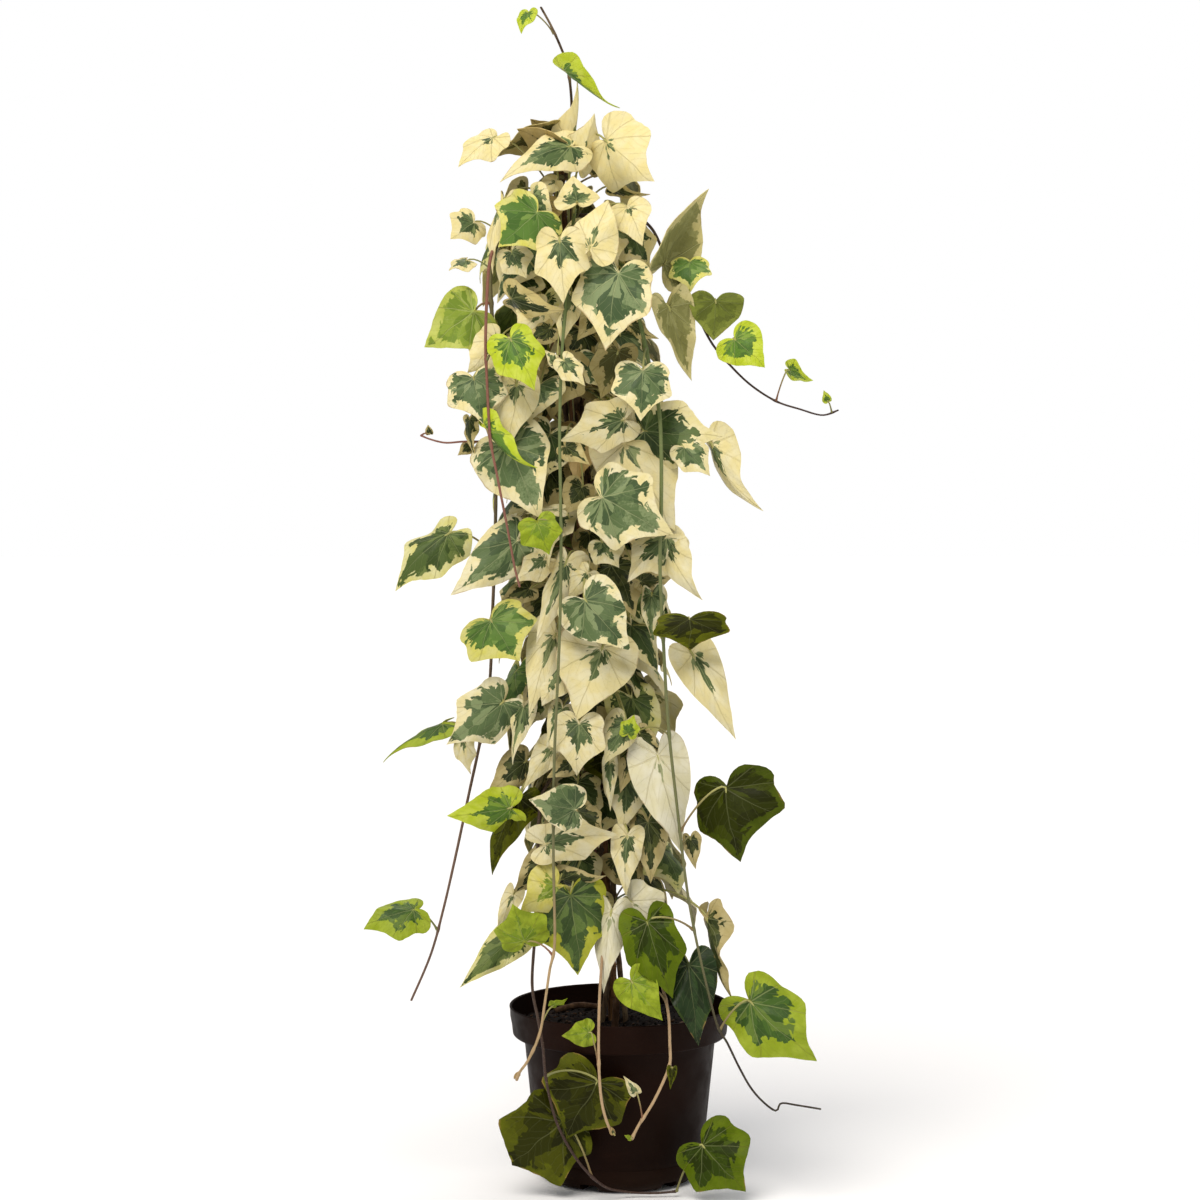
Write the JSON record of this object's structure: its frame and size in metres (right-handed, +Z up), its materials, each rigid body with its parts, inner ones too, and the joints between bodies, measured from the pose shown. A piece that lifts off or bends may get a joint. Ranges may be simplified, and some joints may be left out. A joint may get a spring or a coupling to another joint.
{
  "type": "potted ivy",
  "caption": "Variegated ivy climbing a stake in a round nursery pot, with hanging shoots and separate leaves.",
  "frame": {"origin": "centre of the flat pad under the pot, on the surface that the pot stands on", "axes": "+Z up along the plant, -Y towards the side that the long shoots hang on, +X to the right seen from there"},
  "size_m": [0.3963, 0.2124, 0.9975],
  "materials": {
    "pot_plastic": "satin dark brown moulded plastic",
    "soil": "dark crumbly peat with bits of bark",
    "cane": "reddish brown cane",
    "tie": "dark green plastic tie",
    "woody_stem": "grey-brown bark",
    "brown_stem": "dark reddish brown young bark",
    "green_stem": "smooth green shoot",
    "tan_stem": "dry tan shoot",
    "cream_leaf": "satin leaf, cream with a small green centre",
    "marbled_leaf": "satin leaf, grey-green with a jagged cream edge",
    "green_leaf": "satin leaf, green with a yellow-green edge",
    "lime_leaf": "soft young leaf, lime green",
    "olive_leaf": "satin leaf, olive green"
  },
  "bodies": {
    "root": {"arch_right": "brown_stem", "centre": "green_stem", "climbing_stem_1": "woody_stem", "climbing_stem_2": "woody_stem", "climbing_stem_3": "woody_stem", "dangler_mid": "tan_stem", "dangler_right": "tan_stem", "front_floor": "brown_stem", "leaf_arch_heart": "green_leaf", "leaf_arch_lime": "lime_leaf", "leaf_back_1": "cream_leaf", "leaf_back_2": "marbled_leaf", "leaf_back_3": "cream_leaf", "leaf_back_4": "marbled_leaf", "leaf_back_5": "green_leaf", "leaf_back_6": "cream_leaf", "leaf_back_7": "marbled_leaf", "leaf_back_8": "green_leaf", "leaf_big_green_low": "green_leaf", "leaf_big_left_centre": "marbled_leaf", "leaf_big_upper_centre": "marbled_leaf", "leaf_centre_grey": "marbled_leaf", "leaf_cream_big_centre": "cream_leaf", "leaf_crown_left": "marbled_leaf", "leaf_crown_right": "cream_leaf", "leaf_dark_low_right": "green_leaf", "leaf_far_left": "lime_leaf", "leaf_far_right": "cream_leaf", "leaf_floor_right": "green_leaf", "leaf_front_right_big": "marbled_leaf", "leaf_green_lime_low": "green_leaf", "leaf_green_upper_left": "green_leaf", "leaf_leader_right": "lime_leaf", "leaf_left_edge_lime": "lime_leaf", "leaf_left_grey": "marbled_leaf", "leaf_left_hanging": "green_leaf", "leaf_left_light_green": "lime_leaf", "leaf_left_lime_low": "lime_leaf", "leaf_left_marbled": "marbled_leaf", "leaf_left_marbled_low": "green_leaf", "leaf_left_yellow": "green_leaf", "leaf_pale_underside": "marbled_leaf", "leaf_pot_front": "olive_leaf", "leaf_pot_left": "olive_leaf", "leaf_right_big_dark": "green_leaf", "leaf_right_big_green": "olive_leaf", "leaf_right_cream_drop": "cream_leaf", "leaf_right_low_lime": "lime_leaf", "leaf_right_olive": "olive_leaf", "leaf_white_right": "cream_leaf", "left_long": "woody_stem", "left_short": "brown_stem", "pot": "pot_plastic", "right_long": "green_stem", "side_left": "brown_stem", "soil": "soil", "stake": "cane", "tie_1": "tie", "tie_2": "tie", "tie_3": "tie"}
  },
  "joints": []
}
